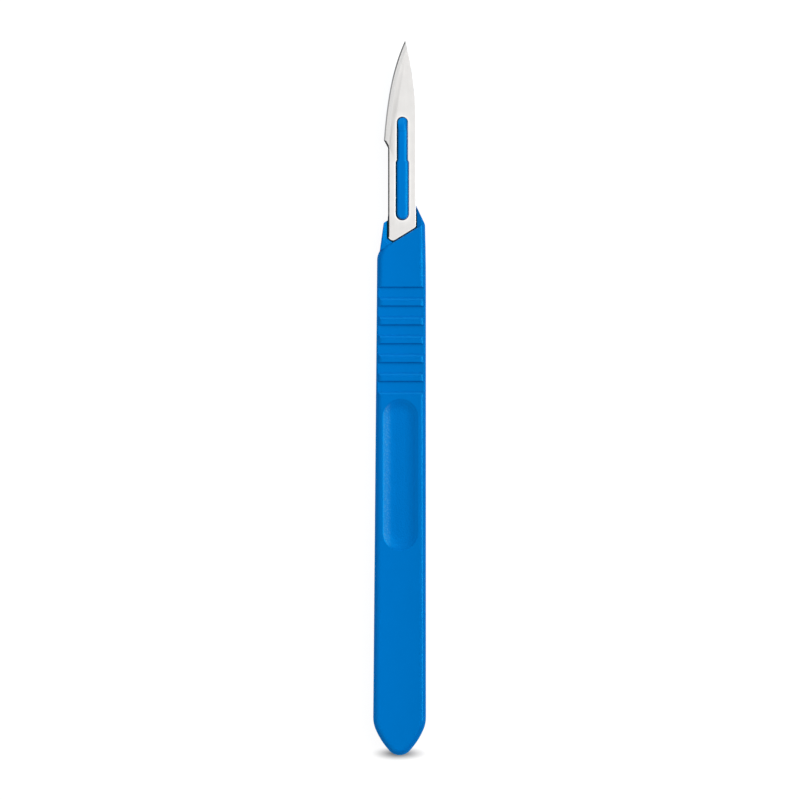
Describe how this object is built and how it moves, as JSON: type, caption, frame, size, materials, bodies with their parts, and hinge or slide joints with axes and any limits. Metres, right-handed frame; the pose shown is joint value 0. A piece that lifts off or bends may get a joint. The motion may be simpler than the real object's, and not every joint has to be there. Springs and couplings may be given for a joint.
{
  "type": "disposable scalpel",
  "caption": "Slim moulded handle with a pointed tail, grip grooves and thumb scoops, carrying a small steel blade fixed by a boss through its keyhole slot.",
  "frame": {"origin": "middle of the footprint, on the flat back face that the scalpel lies on", "axes": "+Y along the handle to the blade's tip, +X towards the blade's blunt back, +Z out of the front face that carries the blade"},
  "size_m": [0.011, 0.15, 0.0044],
  "materials": {
    "handle_plastic": "blue moulded plastic with a soft sheen, and a fine spark texture in the thumb scoops",
    "blade_steel": "satin stainless steel with a ground cutting edge"
  },
  "bodies": {
    "root": {"handle": "handle_plastic", "blade": "blade_steel"}
  },
  "joints": []
}
